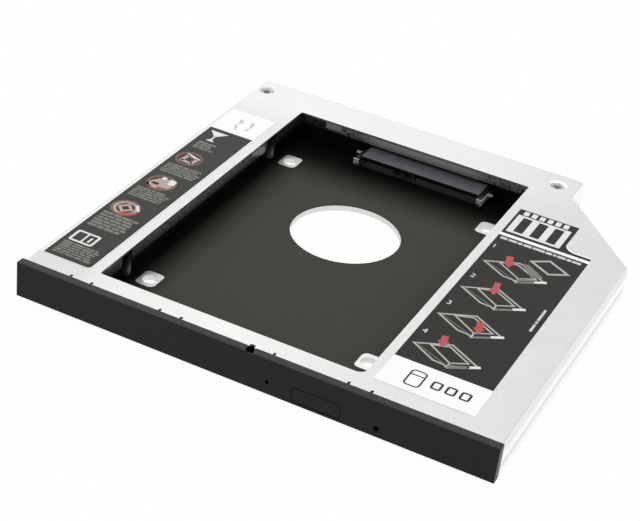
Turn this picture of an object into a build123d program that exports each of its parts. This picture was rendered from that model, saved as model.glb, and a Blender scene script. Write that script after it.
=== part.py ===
from build123d import *
import os

# Drive caddy for a slim 9.5 mm optical bay. It takes a 2.5 inch drive.
# Millimetres, +Z up, +X to the right seen from the bezel, +Y from bezel to rear.
# The origin is the middle of the underside, bezel included.
# The drive sets the bay, and the bay and the rails round it set the body.

# The drive that goes in, with its base holes
drive_width = 69.85
drive_length = 100.45
drive_hole_side = 4.065
drive_hole_rear = 14.0
drive_hole_front = 9.85
drive_pitch_x = drive_width - 2 * drive_hole_side
drive_pitch_y = drive_length - drive_hole_rear - drive_hole_front

# Room round the drive, and the bay opening
drive_side_gap = 1.075
drive_rear_gap = 1.55
drive_front_gap = 5.7
bay_corner = 0.6
bay_wide_corner = 2.2
bay_width = drive_width + 2 * drive_side_gap
bay_length = drive_length + drive_rear_gap + drive_front_gap

# Rails round the bay, and the whole body
left_rail = 18.17
right_rail = 37.33
front_rail = 5.65
rear_rail = 12.75
body_height = 9.5
body_width = left_rail + bay_width + right_rail
body_depth = front_rail + bay_length + rear_rail

# Bezel, which stands out past the body on the left
bezel_overhang = 0.7
bezel_depth = 2.5
bezel_rise = 0.15
bezel_width = body_width + bezel_overhang
bezel_height = body_height + bezel_rise

# Where the faces lie
body_rear = (body_depth + bezel_depth) / 2
body_front = body_rear - body_depth
bezel_front = body_front - bezel_depth
body_right = bezel_width / 2
body_left = body_right - body_width
bay_left = body_left + left_rail
bay_right = bay_left + bay_width
bay_front = body_front + front_rail
bay_rear = bay_front + bay_length
bay_centre_x = (bay_left + bay_right) / 2

# Cut rear right corner, with the tab that stands behind it
cut_side_length = 37.3
cut_tab_length = 10.7
tab_inset = 24.6
corner_radius = 1.0
tab_radius = 2.0
cut_side_y = body_rear - cut_side_length
cut_tab_y = body_rear - cut_tab_length
tab_x = body_right - tab_inset

# Cover, folded from sheet
sheet = 0.6
bend_radius = 0.7
seam_height = 3.5
seam_gap = 0.2
cover_under = body_height - sheet
cover_low = seam_height + seam_gap / 2
base_rim_top = seam_height - seam_gap / 2

# Tongues on the cover's front edge that hold the bezel, set down under its skin
tongue_inset = 16.1
tongue_pitch = 25.2
tongue_count = 4
tongue_width = 5.2
tongue_reach = 1.3
tongue_root = 1.0
tongue_step = 0.5
slit_width = 0.7
slit_depth = 1.1
tongue_clearance = 0.1
tongue_low = cover_under - tongue_step
tongue_top = tongue_low + sheet

# Notch through the bezel's top edge beside the third tongue, open down to the frame
notch_tongue = 2
notch_width = 2.2
notch_offset = 1.4
notch_reach = 2.0
notch_low = 5.0
notch_back = 1.2
notch_cover_width = 1.5
notch_cover_depth = 1.0
notch_lip_width = 1.7
notch_lip_depth = 0.35

# Hook folded down from the cover at the bay's rear edge, which grips the frame
hook_width = 5.0
hook_drop = 1.8
hook_sheet = 0.5
hook_offset = 10.7
hook_clearance = 0.05

# Holes for the bracket that a laptop maker screws on, in pressed dimples
bracket_inset_rear = 6.8
bracket_inset_left = 3.2
bracket_inset_tab = 6.3
bracket_radius = 1.1
dimple_radius = 2.3
dimple_depth = 0.45
dimple_slope = 0.5
dimple_clearance = 0.3
collar_radius = 1.6
collar_depth = 1.1

# Base plate
base_thickness = 1.5
round_hole_radius = 15.0
round_hole_inset = 65.65
drive_hole_radius = 2.0
round_hole_y = bay_front + round_hole_inset

# Insulating film on the base plate
film_thickness = 0.25
film_edge_gap = 0.2
film_hole_gap = 0.15
film_slot_width = 5.6
film_slot_length = 7.2
film_slot_corner = 1.6
film_top = base_thickness + film_thickness

# Moulded frame between base plate and cover
frame_clearance = 0.08
frame_wall = 1.2
deck_thickness = 1.0
bay_step = 0.15
undercut = 2.0
side_lip_height = 3.3
rear_lip_height = 2.5
pad_inset_left = 0.75
pad_inset_right = 3.75
rib_width = 1.0
rib_insets = (23.8, 49.8, 81.8)
side_lip_low = cover_under - side_lip_height
rear_lip_low = cover_under - rear_lip_height
deck_low = cover_under - deck_thickness
ring_out = undercut + frame_wall

# Screws that hold the base plate to the frame
screw_left_inset = 8.5
screw_front_inset = 9.8
screw_rear_inset = 4.5
screw_right_front_offset = 18.3
screw_right_rear_offset = 9.8
screw_radius = 1.0
screw_bore_clearance = 0.05
screw_hole_radius = 1.15
screw_head_radius = 1.9
screw_head_height = 0.6
screw_sink_radius = 2.1
screw_sink_depth = 0.8
cross_length = 1.7
cross_width = 0.4
cross_depth = 0.35
boss_radius = 2.5
boss_bore_margin = 0.3
screw_end_margin = 0.4

# Bezel details, from its right end
bezel_edge = 0.15
lamp_inset = 57.85
lamp_z = 3.4
lamp_radius = 0.5
pin_hole_inset = 29.45
pin_hole_z = 2.4
pin_hole_radius = 0.7

# Eject button
button_inset = 45.0
button_width = 12.4
button_low = 0.95
button_high = 4.65
button_corner = 0.6
button_gap = 0.2
button_plate = 1.2
button_travel = 0.8
button_sunk = 0.05
button_stem_width = 10.0
button_stem_low = 1.9
button_flange_side = 0.9
button_flange_up = 0.7
button_flange_thickness = 0.6
button_back_gap = 0.02
button_pocket_gap = 0.3
button_pocket_room = 0.6
button_x = body_right - button_inset

# Circuit board
board_left_inset = 5.5
board_tab_inset = 9.9
board_length = 6.8
board_rear_inset = 2.3
board_low = 2.0
board_thickness = 0.8
board_screw_left = 2.7
board_screw_right = 3.8
board_screw_front = 3.6
board_post_radius = 2.0
board_hole_radius = 1.15
board_head_radius = 1.7
board_head_height = 0.4
board_thread_length = 3.4
board_bore_margin = 0.4
board_left = body_left + board_left_inset
board_right = tab_x - board_tab_inset
board_rear = body_rear - board_rear_inset
board_front = board_rear - board_length
board_top = board_low + board_thickness

# Plug for the laptop's own socket, 7 and 6 ways
plug_inset = 6.0
plug_width = 30.0
plug_length = 7.2
plug_height = 4.2
plug_rear_inset = 0.1
plug_skin = 0.7
plug_mouth_depth = 5.4
plug_data_inset = 2.0
plug_data_width = 10.4
plug_power_inset = 15.2
plug_power_width = 8.4
plug_tongue_low = 1.3
plug_tongue_height = 1.2
plug_tongue_recess = 0.9
plug_power_count = 6
plug_contact_length = 4.2
plug_contact_inset = 0.2
plug_window_gap = 0.3
plug_window_depth = 3.0
plug_edge = 0.2
plug_left = board_left + plug_inset
plug_right = plug_left + plug_width
plug_rear = body_rear - plug_rear_inset
plug_front = plug_rear - plug_length
plug_top = board_top + plug_height

# Drive socket
socket_offset = 5.33
socket_reach = 5.6
socket_past_wall = 1.45
socket_height = 3.45
socket_edge = 0.15
tail_inset = 1.8
tail_gap = 0.2
tail_drop = 0.2
lip_reach = 0.4
lip_height = 1.75
data_inset = 2.2
power_inset = 1.8
slot_side = 0.25
slot_end_gap = 0.2
slot_height = 1.3
slot_length = 5.0
key_width = 0.7
key_drop = 0.6
recess_width = 6.0
recess_depth = 3.0
recess_floor = 0.5
recess_rib = 0.6
recess_rib_offset = 2.4
recess_rib_inset = 0.3
arm_width = 1.3
arm_reach = 1.5
arm_drop = 0.5
window_gap = 0.5
contact_pitch = 1.27
contact_width = 0.45
contact_thickness = 0.12
contact_inset = 0.5
contact_length = 4.8
data_count = 7
power_count = 15
slot_ends = 2 * slot_side + 2 * slot_end_gap + key_width + contact_width
data_width = slot_ends + (data_count - 1) * contact_pitch
power_width = slot_ends + (power_count - 1) * contact_pitch
socket_width = data_inset + data_width + recess_width + power_width + power_inset
socket_left = bay_centre_x + socket_offset - socket_width / 2
socket_right = socket_left + socket_width
socket_front = bay_rear - socket_reach
socket_back = bay_rear + socket_past_wall
socket_low = film_top
socket_top = socket_low + socket_height
lip_front = socket_front - lip_reach
lip_top = socket_low + lip_height
arm_front = socket_front - arm_reach
arm_top = socket_top - arm_drop
data_left = socket_left + data_inset
data_right = data_left + data_width
power_right = socket_right - power_inset
power_left = power_right - power_width

# Metal brackets at the ends of the drive socket
bracket_sheet = 0.3
bracket_gap = 0.05
bracket_length = 6.2
bracket_drop = 0.05
bracket_tab_rise = 1.5
bracket_strip_rise = 1.0
bracket_strip_drop = 0.4
bracket_ear_reach = 1.3
bracket_ear_length = 1.2
bracket_ear_inset = 0.3

# Small parts on the board
small_part_front = 2.8
small_part_rear = 5.6
capacitor_inset = 10.9
capacitor_size = (3.2, 1.6, 1.3)
resistor_row = 5.0
resistor_offsets = (6.0, 10.0, 14.0, 24.0)
resistor_size = (1.6, 0.8, 0.5)

# Leaf springs in the left rail, one ahead of each drive screw
spring_lead = 2.2
spring_sheet = 0.2
spring_foot_rise = 0.55
spring_head_gap = 0.5
spring_half_length = 1.6
spring_root_depth = 1.0
spring_root_lap = 0.3
spring_bulge = 0.5
spring_slit = 1.4
spring_pocket_gap = 0.25
spring_pocket_wall = 0.3
spring_low = film_top + spring_foot_rise
spring_high = cover_under - spring_head_gap

# Labels on the cover
label_thickness = 0.1
label_corner = 0.8
left_label_outer = 1.2
left_label_inner = 2.87
left_label_front = 5.5
left_label_rear = 10.85
guide_label_inner = 2.53
guide_label_outer = 9.4
guide_label_front = 5.45
guide_label_rear = 13.05
guide_label_step_width = 8.1
guide_label_step_length = 13.2
guide_label_step_radius = 3.6

# How far a cutting block runs past what it cuts
past = 1.0


def block(x0, x1, y0, y1, z0, z1):
    size = Box(x1 - x0, y1 - y0, z1 - z0)
    return Pos((x0 + x1) / 2, (y0 + y1) / 2, (z0 + z1) / 2) * size


def disc(x, y, radius, z0, z1):
    return Pos(x, y, (z0 + z1) / 2) * Cylinder(radius, z1 - z0)


def prism(sketch, z0, z1):
    return extrude(Pos(0, 0, z0) * sketch, z1 - z0)


def rounded(x, y, width, length, radius, z0, z1):
    return prism(Pos(x, y) * RectangleRounded(width, length, radius), z0, z1)


def grow(extra, z0, z1):
    """The bay opening, larger by the extra on every side."""
    return block(bay_left - extra, bay_right + extra, bay_front - extra, bay_rear + extra, z0, z1)


def outline(inset, open_front):
    """The body seen from above, smaller by the inset, run out past the front if asked."""
    corners = Polyline(
        (body_left, body_front),
        (body_right, body_front),
        (body_right, cut_side_y),
        (tab_x, cut_tab_y),
        (tab_x, body_rear),
        (body_left, body_rear),
        close=True,
    )
    face = make_face(corners)
    at_tab = [v for v in face.vertices() if abs(v.X - tab_x) < past]
    face = fillet(at_tab, tab_radius)
    rear = [v for v in face.vertices() if v.Y > body_front + past]
    at_sides = [v for v in rear if v.X < body_left + past or v.X > body_right - past]
    face = fillet(at_sides, corner_radius)
    if inset:
        face = offset(face, -inset, kind=Kind.INTERSECTION)
    if open_front:
        width = body_width - 2 * inset
        middle = (body_right + body_left) / 2
        face = face + Pos(middle, body_front) * Rectangle(width, 4 * inset)
    return face


def drive_hole_ys():
    rear = bay_rear - drive_rear_gap - drive_hole_rear
    return (rear - drive_pitch_y, rear)


def drive_points():
    return [
        (bay_centre_x + side * drive_pitch_x / 2, y)
        for side in (-1, 1)
        for y in drive_hole_ys()
    ]


def tongue_centres():
    return [body_left + tongue_inset + i * tongue_pitch for i in range(tongue_count)]


def bracket_points():
    y = body_rear - bracket_inset_rear
    return [(body_left + bracket_inset_left, y), (tab_x - bracket_inset_tab, y)]


def base_screw_points():
    front = body_front + screw_front_inset
    rear = bay_rear - screw_rear_inset
    left = body_left + screw_left_inset
    return [
        (left, front),
        (left, rear),
        (bay_right + screw_right_front_offset, front),
        (bay_right + screw_right_rear_offset, rear),
    ]


def board_screw_points():
    y = board_front + board_screw_front
    return [(board_left + board_screw_left, y), (board_right - board_screw_right, y)]


def bay_hole(z0, z1):
    """The opening in the cover. Its front right corner is rounder than the others."""
    middle = Pos(bay_centre_x, (bay_front + bay_rear) / 2)
    hole = middle * Rectangle(bay_width, bay_length)
    half_way = (bay_front + bay_rear) / 2
    wide = [v for v in hole.vertices() if v.X > bay_centre_x and v.Y < half_way]
    hole = fillet(wide, bay_wide_corner)
    other = [v for v in hole.vertices() if v.X < bay_centre_x or v.Y > half_way]
    hole = fillet(other, bay_corner)
    return prism(hole, z0, z1)


def hook(extra):
    """The cover's own hook, or with an extra the seat cut for it in the frame."""
    x = bay_left + hook_offset
    half = hook_width / 2 + extra
    back = bay_rear + hook_sheet + extra
    low = cover_under - hook_drop - extra
    return block(x - half, x + half, bay_rear, back, low, body_height - sheet / 2)


def plug_window(z0, z1, y0):
    left = plug_left - plug_window_gap
    right = plug_right + plug_window_gap
    return block(left, right, y0, body_rear + past, z0, z1)


def notch_span():
    """Left and right side of the notch, in X."""
    right = tongue_centres()[notch_tongue] - notch_offset
    return (right - notch_width, right)


def make_cover():
    """Folded sheet with the bay opening, a hook, tongues for the bezel and two dimples."""
    body = prism(outline(0, False), cover_low, body_height)
    top_edges = body.edges().filter_by(lambda e: e.center().Z > body_height - sheet / 2)
    folds = [e for e in top_edges if e.center().Y > body_front + sheet]
    body = fillet(folds, bend_radius)
    body -= prism(outline(sheet, True), cover_low - past, cover_under)
    body -= bay_hole(cover_low, body_height + past)
    body += hook(0)
    for x in tongue_centres():
        half = tongue_width / 2
        tongue_front = body_front - tongue_reach
        body += block(x - half, x + half, tongue_front, body_front + tongue_root, tongue_low, tongue_top)
        for slit_x in (x - half - slit_width, x + half):
            slit_front = tongue_front - past
            slit_back = body_front + slit_depth
            body -= block(slit_x, slit_x + slit_width, slit_front, slit_back, 0, body_height + past)
    left, right = notch_span()
    top = body_height + past
    body -= block(left, right, body_front - tongue_reach - past, body_front, 0, top)
    back = body_front + notch_cover_depth
    body -= block(left, left + notch_cover_width, body_front - past, back, 0, top)
    for x, y in bracket_points():
        dimple_low = cover_under - dimple_depth
        collar_low = dimple_low - collar_depth
        body += disc(x, y, dimple_radius + dimple_slope, dimple_low, cover_under + sheet / 4)
        body += disc(x, y, collar_radius, collar_low, cover_under + sheet / 4)
        pit = Cone(dimple_radius - dimple_slope, dimple_radius, dimple_depth)
        body -= Pos(x, y, body_height - dimple_depth / 2) * pit
        body -= disc(x, y, bracket_radius, collar_low - past, body_height + past)
    body -= plug_window(cover_low - past, plug_top + plug_window_gap, body_rear - plug_window_depth)
    return body


def make_base_plate():
    """Plate with a low rim, the round hole, four drive holes and sunk screw holes."""
    body = prism(outline(0, False), 0, base_rim_top)
    body -= prism(outline(sheet, True), base_thickness, base_rim_top + past)
    body -= disc(bay_centre_x, round_hole_y, round_hole_radius, -past, base_thickness + past)
    for x, y in drive_points():
        body -= disc(x, y, drive_hole_radius, -past, base_thickness + past)
    for x, y in base_screw_points():
        body -= disc(x, y, screw_hole_radius, -past, base_thickness + past)
        body -= disc(x, y, screw_sink_radius, -past, screw_sink_depth)
    body -= plug_window(board_top - plug_window_gap, base_rim_top + past, body_rear - plug_window_depth)
    return body


def make_floor_film():
    """Film on the bay floor, open round the drive holes and at the round hole."""
    body = grow(undercut - film_edge_gap, base_thickness, film_top)
    body -= disc(bay_centre_x, round_hole_y, round_hole_radius + film_hole_gap, 0, film_top + past)
    for x, y in drive_points():
        body -= rounded(x, y, film_slot_width, film_slot_length, film_slot_corner, 0, film_top + past)
    return body


def spring_centres():
    return [y - spring_lead for y in drive_hole_ys()]


def button_pocket():
    half = button_width / 2 + button_flange_side + button_pocket_gap
    back = body_front + button_flange_thickness + button_travel + button_pocket_room
    top = button_high + button_flange_up + button_pocket_gap
    return block(button_x - half, button_x + half, body_front - past, back, 0, top)


def spring_pocket(y):
    """Room for a leaf, with a slit left open ahead of it."""
    near = y - spring_half_length - spring_slit
    far = y + spring_half_length + spring_pocket_gap
    top = spring_high + spring_pocket_wall
    return block(bay_left - undercut, bay_left + past, near, far, 0, top)


def tongue_seat(x):
    half = tongue_width / 2 + tongue_clearance
    back = body_front + tongue_root + tongue_clearance
    return block(x - half, x + half, body_front - past, back, tongue_low - tongue_clearance, body_height)


def make_frame():
    """One moulding: deck, outer wall, walls round the bay, ribs, bosses and board posts.

    A smooth pad stands on the rear wall over the drive socket."""
    side = sheet + frame_clearance
    low = base_thickness
    front = body_front + frame_clearance
    left = body_left + side
    right = body_right - side
    body = prism(outline(side, False), low, cover_under)
    body -= prism(outline(side + frame_wall, False), low - past, deck_low)
    body += block(left, right, front, body_front + side + frame_wall, low, cover_under)
    for inset in rib_insets:
        y = body_front + inset
        body += block(left, bay_left - undercut, y, y + rib_width, low, deck_low)
        body += block(bay_right + undercut, right, y, y + rib_width, low, deck_low)
    walls = grow(ring_out, low, cover_under)
    body = body - walls + (walls - grow(undercut, low - past, deck_low))
    body += grow(ring_out, side_lip_low, deck_low)
    body -= grow(bay_step, low - past, cover_under + past)
    rear = bay_rear + bay_step
    body -= block(bay_left, bay_right, rear - past, bay_rear + undercut, low - past, rear_lip_low)
    body &= block(left, right, front, body_rear - side, low, cover_under)
    pad_left = socket_left + pad_inset_left
    pad_right = socket_right - pad_inset_right
    body += block(pad_left, pad_right, bay_rear, bay_rear + undercut, rear_lip_low, deck_low)
    window_left = socket_left - window_gap
    window_right = socket_right + window_gap
    window_back = bay_rear + ring_out + past
    window_top = socket_top + window_gap
    body -= block(window_left, window_right, bay_rear, window_back, low - past, window_top)
    body -= hook(hook_clearance)
    bore = screw_radius + screw_bore_clearance
    for x, y in base_screw_points():
        body += disc(x, y, boss_radius, low, deck_low)
        body -= disc(x, y, bore, low - past, deck_low - boss_bore_margin)
    for x, y in board_screw_points():
        body += disc(x, y, board_post_radius, board_top, deck_low)
        body -= disc(x, y, bore, low, board_top + board_thread_length + board_bore_margin)
    for x, y in bracket_points():
        clear = dimple_radius + dimple_slope + dimple_clearance
        body -= disc(x, y, clear, deck_low - past, cover_under + past)
    plug_room_front = plug_front - plug_window_gap
    body -= plug_window(low - past, plug_top + plug_window_gap, plug_room_front)
    body -= button_pocket()
    for x in tongue_centres():
        body -= tongue_seat(x)
    notch_left, notch_right = notch_span()
    notch_end = body_front + notch_back
    body -= block(notch_left, notch_right, body_front - past, notch_end, notch_low, body_height)
    for y in spring_centres():
        body -= spring_pocket(y)
    return body


def make_side_springs():
    """Two bowed steel leaves that press the drive to the right."""
    leaves = []
    root = bay_left - spring_root_depth
    crown = bay_left + spring_bulge
    foot = bay_left - undercut
    for y in spring_centres():
        near = y - spring_half_length
        far = y + spring_half_length
        outer = ThreePointArc((root, near), (crown, y), (root, far))
        inner_far = (root, far - spring_sheet)
        inner_near = (root, near + spring_sheet)
        inner = ThreePointArc(inner_far, (crown - spring_sheet, y), inner_near)
        ends = [Line((root, far), inner_far), Line(inner_near, (root, near))]
        leaf = prism(make_face([outer, inner] + ends), spring_low, spring_high)
        for start in (near, far - spring_sheet):
            end = start + spring_sheet
            leaf += block(foot, root + spring_root_lap, start, end, spring_low, spring_high)
        leaves.append(leaf)
    return leaves


def front_disc(x, z, radius, y0, y1):
    """A round bar along Y."""
    bar = Rot(90, 0, 0) * Cylinder(radius, y1 - y0)
    return Pos(x, (y0 + y1) / 2, z) * bar


def front_rounded(x0, x1, z0, z1, radius, y0, y1):
    """A block along Y with rounded corners, seen from the front."""
    face = RectangleRounded(x1 - x0, z1 - z0, radius)
    bar = Rot(90, 0, 0) * extrude(face, (y1 - y0) / 2, both=True)
    return Pos((x0 + x1) / 2, (y0 + y1) / 2, (z0 + z1) / 2) * bar


def make_bezel():
    """Front strip with pockets for the tongues, lamp and pin holes and the button opening."""
    half = bezel_width / 2
    front = bezel_front - past
    back = body_front + past
    body = block(-half, half, bezel_front, body_front, 0, bezel_height)
    front_edges = [e for e in body.edges() if e.center().Y < bezel_front + bezel_edge]
    body = fillet(front_edges, bezel_edge)
    for x in tongue_centres():
        reach = tongue_width / 2 + tongue_clearance
        pocket_front = body_front - tongue_reach - tongue_clearance
        low = tongue_low - tongue_clearance
        body -= block(x - reach, x + reach, pocket_front, back, low, tongue_top + tongue_clearance)
    left, right = notch_span()
    top = bezel_height + past
    body -= block(left, right, body_front - notch_reach, back, notch_low, top)
    body -= block(right - notch_lip_width, right, front, back, bezel_height - notch_lip_depth, top)
    body -= front_disc(body_right - lamp_inset, lamp_z, lamp_radius, front, back)
    body -= front_disc(body_right - pin_hole_inset, pin_hole_z, pin_hole_radius, front, back)
    wide = button_width / 2 + button_gap
    corner = button_corner + button_gap
    low = button_low - button_gap
    high = button_high + button_gap
    body -= front_rounded(button_x - wide, button_x + wide, low, high, corner, front, back)
    return body


def make_eject_button():
    """Key with a stem and a flange that stops it behind the bezel."""
    half = button_width / 2
    face_y = bezel_front + button_sunk
    plate_back = bezel_front + button_plate
    flange_front = body_front + button_back_gap
    flange_back = flange_front + button_flange_thickness
    left = button_x - half
    right = button_x + half
    body = front_rounded(left, right, button_low, button_high, button_corner, face_y, plate_back)
    stem = button_stem_width / 2
    stem_front = plate_back - button_sunk
    body += block(button_x - stem, button_x + stem, stem_front, flange_back, button_stem_low, button_high)
    top = button_high + button_flange_up
    left -= button_flange_side
    right += button_flange_side
    body += block(left, right, flange_front, flange_back, button_stem_low, top)
    return body


def screw(x, y, head_low, head_height, head_radius, end):
    body = disc(x, y, head_radius, head_low, head_low + head_height)
    body += disc(x, y, screw_radius, head_low, end)
    for wide, long in ((cross_length, cross_width), (cross_width, cross_length)):
        half_x = wide / 2
        half_y = long / 2
        top = head_low + cross_depth
        body -= block(x - half_x, x + half_x, y - half_y, y + half_y, head_low - past, top)
    return body


def make_base_screws():
    low = screw_sink_depth - screw_head_height
    end = deck_low - boss_bore_margin - screw_end_margin
    points = base_screw_points()
    return [screw(x, y, low, screw_head_height, screw_head_radius, end) for x, y in points]


def make_board_screws():
    low = board_low - board_head_height
    end = board_top + board_thread_length
    points = board_screw_points()
    return [screw(x, y, low, board_head_height, board_head_radius, end) for x, y in points]


def make_circuit_board():
    body = block(board_left, board_right, board_front, board_rear, board_low, board_top)
    for x, y in board_screw_points():
        body -= disc(x, y, board_hole_radius, board_low - past, board_top + past)
    return body


def make_drive_socket():
    """Housing with two L-shaped slots, a recess between them, end arms and a tail."""
    left = socket_left + arm_width
    right = socket_right - arm_width
    body = block(left, right, socket_front, socket_back, socket_low, socket_top)
    top_edges = body.edges().filter_by(lambda e: e.center().Z > socket_top - socket_edge)
    body = chamfer(top_edges, socket_edge)
    tail_left = socket_left + tail_inset
    tail_right = socket_right - tail_inset
    tail_end = plug_front - tail_gap
    body += block(tail_left, tail_right, bay_rear, tail_end, board_top, socket_top - tail_drop)
    slot_top = lip_top + slot_height
    back = socket_front + recess_depth
    body -= block(data_right, power_left, socket_front - past, back, socket_low + recess_floor, slot_top)
    rib = data_right + recess_rib_offset
    body += block(rib, rib + recess_rib, socket_front + recess_rib_inset, back, socket_low, slot_top)
    for left, right in ((data_left, data_right), (power_left, power_right)):
        body += block(left, right, lip_front, bay_rear, socket_low, lip_top)
        slot_left = left + slot_side
        slot_right = right - slot_side
        key_right = slot_left + key_width
        front = lip_front - past
        back = socket_front + slot_length
        body -= block(slot_left, slot_right, front, back, lip_top, slot_top)
        body -= block(slot_left, key_right, front, back, lip_top - key_drop, slot_top)
    for left in (socket_left, socket_right - arm_width):
        body += block(left, left + arm_width, arm_front, bay_rear, socket_low, arm_top)
    return body


def contact_row(left, right, count, front, length, low):
    """Flat contacts along X, side by side."""
    first = (left + right) / 2 - contact_pitch * (count - 1) / 2
    half = contact_width / 2
    row = []
    for i in range(count):
        x = first + i * contact_pitch
        row.append(block(x - half, x + half, front, front + length, low, low + contact_thickness))
    return row


def make_drive_socket_contacts():
    """Both rows lie on the lips, between the key's side and the slot's other end."""
    front = lip_front + contact_inset
    rows = []
    for left, right, count in ((data_left, data_right, data_count), (power_left, power_right, power_count)):
        start = left + slot_side + key_width
        rows += contact_row(start, right - slot_side, count, front, contact_length, lip_top)
    return rows


def make_socket_brackets():
    """A metal strip along each end arm, with a tab over the arm's front and an ear to the side."""
    pair = []
    front = arm_front - bracket_gap - bracket_sheet
    back = front + bracket_length
    tab_top = arm_top - bracket_drop
    strip_top = arm_top - bracket_strip_drop
    for side, end in ((-1, socket_left), (1, socket_right)):
        outer = end + side * bracket_sheet
        x0, x1 = sorted((end, outer))
        body = block(x0, x1, front, back, socket_low + bracket_strip_rise, strip_top)
        x0, x1 = sorted((end - side * arm_width, outer))
        body += block(x0, x1, front, front + bracket_sheet, socket_low + bracket_tab_rise, tab_top)
        x0, x1 = sorted((end, outer + side * bracket_ear_reach))
        ear_back = back - bracket_ear_inset
        ear_front = ear_back - bracket_ear_length
        body += block(x0, x1, ear_front, ear_back, strip_top - bracket_sheet, strip_top)
        pair.append(body)
    return pair


def plug_tongues():
    rear = plug_rear - plug_tongue_recess
    front = plug_rear - plug_mouth_depth
    low = board_top + plug_tongue_low
    spans = ((plug_data_inset, plug_data_width), (plug_power_inset, plug_power_width))
    return [(plug_left + inset, plug_left + inset + width, front, rear, low) for inset, width in spans]


def make_laptop_plug():
    """Housing open to the rear, with a wide and a narrow tongue inside."""
    body = block(plug_left, plug_right, plug_front, plug_rear, board_top, plug_top)
    body = chamfer(body.edges().filter_by(Axis.Y), plug_edge)
    left = plug_left + plug_skin
    right = plug_right - plug_skin
    front = plug_rear - plug_mouth_depth
    body -= block(left, right, front, plug_rear + past, board_top + plug_skin, plug_top - plug_skin)
    for left, right, front, rear, low in plug_tongues():
        body += block(left, right, front - plug_skin, rear, low, low + plug_tongue_height)
    return body


def make_laptop_plug_contacts():
    rows = []
    for (left, right, front, rear, low), count in zip(plug_tongues(), (data_count, plug_power_count)):
        start = rear - plug_contact_length
        length = plug_contact_length - plug_contact_inset
        rows += contact_row(left, right, count, start, length, low + plug_tongue_height)
    return rows


def on_board(points, size):
    length, width, height = size
    parts = []
    for x, y in points:
        part = Pos(x, y, board_top + height / 2) * Box(length, width, height)
        parts.append(part)
    return parts


def make_board_capacitors():
    x = board_right - capacitor_inset
    points = [(x, board_front + small_part_front), (x, board_front + small_part_rear)]
    return on_board(points, capacitor_size)


def make_board_resistors():
    y = board_front + resistor_row
    points = [(plug_right + offset, y) for offset in resistor_offsets]
    return on_board(points, resistor_size)


def make_left_label():
    left = body_left + left_label_outer
    right = bay_left - left_label_inner
    front = body_front + left_label_front
    rear = bay_rear - left_label_rear
    x = (left + right) / 2
    y = (front + rear) / 2
    top = body_height + label_thickness
    return rounded(x, y, right - left, rear - front, label_corner, body_height, top)


def make_guide_label():
    """The large label. Its rear block is narrower, with a round inner corner."""
    left = bay_right + guide_label_inner
    right = body_right - guide_label_outer
    front = body_front + guide_label_front
    rear = bay_rear - guide_label_rear
    step_x = right - guide_label_step_width
    step_y = rear - guide_label_step_length
    corners = ((left, front), (right, front), (right, step_y), (step_x, step_y), (step_x, rear), (left, rear))
    face = make_face(Polyline(*corners, close=True))
    inner = [v for v in face.vertices() if abs(v.X - step_x) + abs(v.Y - step_y) < label_thickness]
    face = fillet(inner, guide_label_step_radius)
    return prism(face, body_height, body_height + label_thickness)


def save(name, shape):
    """One STEP file for each node. A list becomes a group of separate solids."""
    items = shape if isinstance(shape, list) else [shape]
    bodies = [solid for item in items for solid in item.solids()]
    export_step(Compound(children=bodies), os.path.join("parts", name + ".step"))


os.makedirs("parts", exist_ok=True)
save("cover", make_cover())
save("base_plate", make_base_plate())
save("floor_film", make_floor_film())
save("frame", make_frame())
save("side_springs", make_side_springs())
save("bezel", make_bezel())
save("eject_button", make_eject_button())
save("base_screws", make_base_screws())
save("circuit_board", make_circuit_board())
save("board_screws", make_board_screws())
save("drive_socket", make_drive_socket())
save("drive_socket_contacts", make_drive_socket_contacts())
save("socket_brackets", make_socket_brackets())
save("laptop_plug", make_laptop_plug())
save("laptop_plug_contacts", make_laptop_plug_contacts())
save("board_capacitors", make_board_capacitors())
save("board_resistors", make_board_resistors())
save("left_label", make_left_label())
save("guide_label", make_guide_label())
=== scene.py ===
import math
import random

import bmesh
import bpy
from mathutils import Matrix, Vector


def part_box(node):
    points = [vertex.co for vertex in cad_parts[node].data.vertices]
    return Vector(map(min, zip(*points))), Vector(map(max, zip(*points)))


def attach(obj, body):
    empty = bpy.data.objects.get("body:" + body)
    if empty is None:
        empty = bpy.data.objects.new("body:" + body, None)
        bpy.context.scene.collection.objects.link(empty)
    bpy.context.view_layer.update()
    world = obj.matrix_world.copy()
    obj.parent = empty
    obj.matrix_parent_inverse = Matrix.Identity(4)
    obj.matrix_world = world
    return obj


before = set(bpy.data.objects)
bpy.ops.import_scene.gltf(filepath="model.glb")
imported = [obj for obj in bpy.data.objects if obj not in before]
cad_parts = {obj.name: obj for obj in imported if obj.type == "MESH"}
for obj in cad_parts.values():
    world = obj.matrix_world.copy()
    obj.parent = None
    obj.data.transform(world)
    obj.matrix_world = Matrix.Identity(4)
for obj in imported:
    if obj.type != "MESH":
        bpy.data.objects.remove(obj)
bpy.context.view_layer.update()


# Camera: it stands where the photographer's did. Lens, place and turn were fitted to
# the measured corners of the cover, the bay and the bezel.
MM = 0.001
camera_azimuth = math.radians(23.078)
camera_elevation = math.radians(31.956)
camera_roll = math.radians(7.166)
camera_distance = 443.755 * MM
camera_aim = Vector((0.1, 1.2, 6.0)) * MM
camera_side = 11.884 * MM
camera_drop = 4.34 * MM
camera_lens = 94.84
sensor_width = 36.0

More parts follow.
